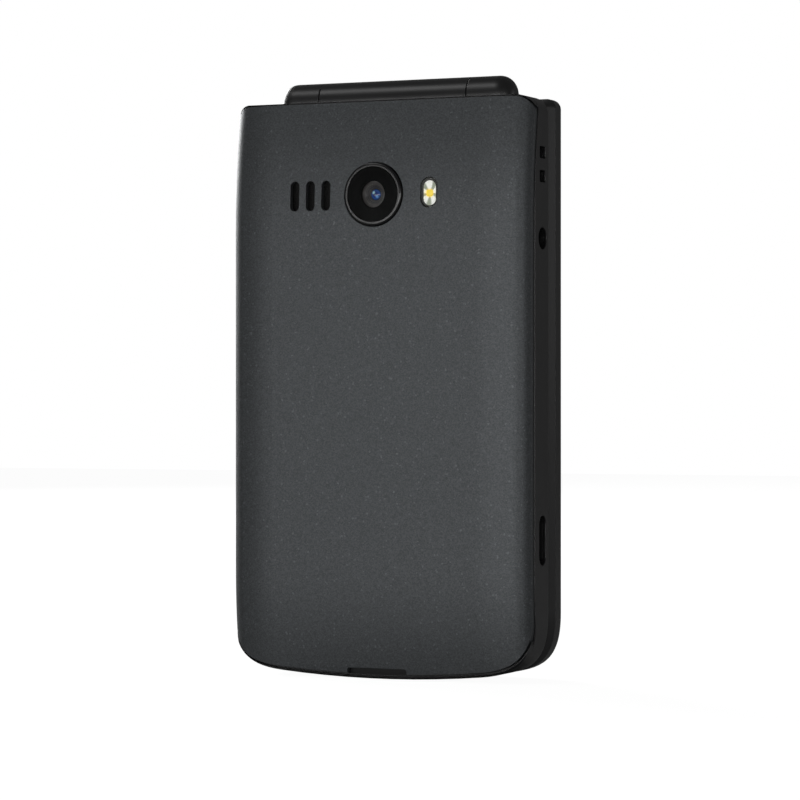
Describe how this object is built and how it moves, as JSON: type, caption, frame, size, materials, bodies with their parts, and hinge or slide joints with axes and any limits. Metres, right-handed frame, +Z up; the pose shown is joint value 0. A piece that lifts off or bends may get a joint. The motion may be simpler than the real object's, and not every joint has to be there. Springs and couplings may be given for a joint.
{
  "type": "flip phone",
  "caption": "Closed flip phone: removable curved back cover with camera, flash and speaker slots, side sockets, hinged lid with inner and outer displays over a keypad.",
  "frame": {"origin": "on the ground under the middle of the closed phone, which stands on its lower end", "axes": "+X to the side with the sockets, +Y from the battery cover to the lid's outer face, +Z up to the hinge"},
  "size_m": [0.0603, 0.0189, 0.1099],
  "materials": {
    "cover_paint": "satin metallic paint",
    "dark_plastic": "satin",
    "keypad_plastic": "satin",
    "black_gloss": "glossy",
    "clear_window": "glossy",
    "camera_black": "satin",
    "flash_clear": "clear ribbed",
    "white_reflector": "glossy",
    "black_matt": "matt",
    "mesh_black": "woven mesh",
    "battery_wrap": "matt wrap",
    "contact_brass": "gold plated",
    "board_green": "solder mask",
    "dome_film": "film over steel domes",
    "steel": "satin",
    "screw_steel": "black plated",
    "lid_paint": "satin paint",
    "dark_glass": "glossy",
    "display_glass": "glossy",
    "bumper_rubber": "matt",
    "flex_film": "amber film",
    "rocker_plastic": "satin",
    "key_plastic": "satin",
    "ring_metal": "metallic paint"
  },
  "bodies": {
    "base": {"rear_housing": "dark_plastic", "keypad_frame": "keypad_plastic", "camera_bezel": "black_gloss", "camera_window": "clear_window", "camera_module": "camera_black", "flash_lens": "flash_clear", "flash_led": "white_reflector", "speaker": "black_matt", "speaker_mesh": "mesh_black", "battery": "battery_wrap", "battery_contacts": "contact_brass", "main_board": "board_green", "shield_cans": "steel", "keypad_board": "board_green", "dome_sheet": "dome_film", "usb_socket": "steel", "headphone_socket": "black_matt", "vibration_motor": "steel", "microphone": "black_matt", "card_holder": "steel", "housing_screws": "screw_steel", "antenna": "black_matt", "hinge_cartridge": "steel", "hinge_bush": "steel"},
    "cover": {"battery_cover": "cover_paint"},
    "lid": {"lid_frame": "dark_plastic", "lid_cover": "lid_paint", "outer_window": "dark_glass", "outer_display": "display_glass", "inner_window": "dark_glass", "main_display": "display_glass", "earpiece": "black_matt", "earpiece_mesh": "mesh_black", "lid_magnet": "steel", "lid_bumpers": "bumper_rubber", "lid_screws": "screw_steel", "hinge_cam": "steel", "hinge_flex": "flex_film"},
    "key_star_body": {"key_star": "key_plastic"},
    "key_0_body": {"key_0": "key_plastic"},
    "key_hash_body": {"key_hash": "key_plastic"},
    "key_7_body": {"key_7": "key_plastic"},
    "key_8_body": {"key_8": "key_plastic"},
    "key_9_body": {"key_9": "key_plastic"},
    "key_4_body": {"key_4": "key_plastic"},
    "key_5_body": {"key_5": "key_plastic"},
    "key_6_body": {"key_6": "key_plastic"},
    "key_1_body": {"key_1": "key_plastic"},
    "key_2_body": {"key_2": "key_plastic"},
    "key_3_body": {"key_3": "key_plastic"},
    "key_send_body": {"key_send": "key_plastic"},
    "key_clear_body": {"key_clear": "key_plastic"},
    "key_end_body": {"key_end": "key_plastic"},
    "key_soft_left_body": {"key_soft_left": "key_plastic"},
    "key_message_body": {"key_message": "key_plastic"},
    "key_soft_right_body": {"key_soft_right": "key_plastic"},
    "key_camera_body": {"key_camera": "key_plastic"},
    "key_ring_body": {"key_ring": "ring_metal"},
    "key_ok_body": {"key_ok": "key_plastic"},
    "rocker_body": {"volume_rocker": "rocker_plastic"}
  },
  "joints": [
    {"name": "cover_lift", "type": "slide", "parent": "base", "child": "cover", "axis": [0, -1, 0], "range_m": [0, 0.02]},
    {"name": "flip_hinge", "type": "hinge", "parent": "base", "child": "lid", "pos_m": [0, 0.00155, 0.1063], "axis": [1, 0, 0], "range_deg": [0, 160]},
    {"name": "key_star", "type": "slide", "parent": "base", "child": "key_star_body", "axis": [0, -1, 0], "range_m": [0, 0.0002], "stiffness_N_per_m": 4000, "springref_m": -0.0002},
    {"name": "key_0", "type": "slide", "parent": "base", "child": "key_0_body", "axis": [0, -1, 0], "range_m": [0, 0.0002], "stiffness_N_per_m": 4000, "springref_m": -0.0002},
    {"name": "key_hash", "type": "slide", "parent": "base", "child": "key_hash_body", "axis": [0, -1, 0], "range_m": [0, 0.0002], "stiffness_N_per_m": 4000, "springref_m": -0.0002},
    {"name": "key_7", "type": "slide", "parent": "base", "child": "key_7_body", "axis": [0, -1, 0], "range_m": [0, 0.0002], "stiffness_N_per_m": 4000, "springref_m": -0.0002},
    {"name": "key_8", "type": "slide", "parent": "base", "child": "key_8_body", "axis": [0, -1, 0], "range_m": [0, 0.0002], "stiffness_N_per_m": 4000, "springref_m": -0.0002},
    {"name": "key_9", "type": "slide", "parent": "base", "child": "key_9_body", "axis": [0, -1, 0], "range_m": [0, 0.0002], "stiffness_N_per_m": 4000, "springref_m": -0.0002},
    {"name": "key_4", "type": "slide", "parent": "base", "child": "key_4_body", "axis": [0, -1, 0], "range_m": [0, 0.0002], "stiffness_N_per_m": 4000, "springref_m": -0.0002},
    {"name": "key_5", "type": "slide", "parent": "base", "child": "key_5_body", "axis": [0, -1, 0], "range_m": [0, 0.0002], "stiffness_N_per_m": 4000, "springref_m": -0.0002},
    {"name": "key_6", "type": "slide", "parent": "base", "child": "key_6_body", "axis": [0, -1, 0], "range_m": [0, 0.0002], "stiffness_N_per_m": 4000, "springref_m": -0.0002},
    {"name": "key_1", "type": "slide", "parent": "base", "child": "key_1_body", "axis": [0, -1, 0], "range_m": [0, 0.0002], "stiffness_N_per_m": 4000, "springref_m": -0.0002},
    {"name": "key_2", "type": "slide", "parent": "base", "child": "key_2_body", "axis": [0, -1, 0], "range_m": [0, 0.0002], "stiffness_N_per_m": 4000, "springref_m": -0.0002},
    {"name": "key_3", "type": "slide", "parent": "base", "child": "key_3_body", "axis": [0, -1, 0], "range_m": [0, 0.0002], "stiffness_N_per_m": 4000, "springref_m": -0.0002},
    {"name": "key_send", "type": "slide", "parent": "base", "child": "key_send_body", "axis": [0, -1, 0], "range_m": [0, 0.0002], "stiffness_N_per_m": 4000, "springref_m": -0.0002},
    {"name": "key_clear", "type": "slide", "parent": "base", "child": "key_clear_body", "axis": [0, -1, 0], "range_m": [0, 0.0002], "stiffness_N_per_m": 4000, "springref_m": -0.0002},
    {"name": "key_end", "type": "slide", "parent": "base", "child": "key_end_body", "axis": [0, -1, 0], "range_m": [0, 0.0002], "stiffness_N_per_m": 4000, "springref_m": -0.0002},
    {"name": "key_soft_left", "type": "slide", "parent": "base", "child": "key_soft_left_body", "axis": [0, -1, 0], "range_m": [0, 0.0002], "stiffness_N_per_m": 4000, "springref_m": -0.0002},
    {"name": "key_message", "type": "slide", "parent": "base", "child": "key_message_body", "axis": [0, -1, 0], "range_m": [0, 0.0002], "stiffness_N_per_m": 4000, "springref_m": -0.0002},
    {"name": "key_soft_right", "type": "slide", "parent": "base", "child": "key_soft_right_body", "axis": [0, -1, 0], "range_m": [0, 0.0002], "stiffness_N_per_m": 4000, "springref_m": -0.0002},
    {"name": "key_camera", "type": "slide", "parent": "base", "child": "key_camera_body", "axis": [0, -1, 0], "range_m": [0, 0.0002], "stiffness_N_per_m": 4000, "springref_m": -0.0002},
    {"name": "key_ring", "type": "slide", "parent": "base", "child": "key_ring_body", "axis": [0, -1, 0], "range_m": [0, 0.0002], "stiffness_N_per_m": 4000, "springref_m": -0.0002},
    {"name": "key_ok", "type": "slide", "parent": "base", "child": "key_ok_body", "axis": [0, -1, 0], "range_m": [0, 0.0002], "stiffness_N_per_m": 4000, "springref_m": -0.0002},
    {"name": "volume_rock", "type": "hinge", "parent": "base", "child": "rocker_body", "pos_m": [-0.0277, -0.00135, 0.068], "axis": [0, 1, 0], "range_deg": [-1.2, 1.2], "stiffness_Nm_per_rad": 0.4}
  ]
}
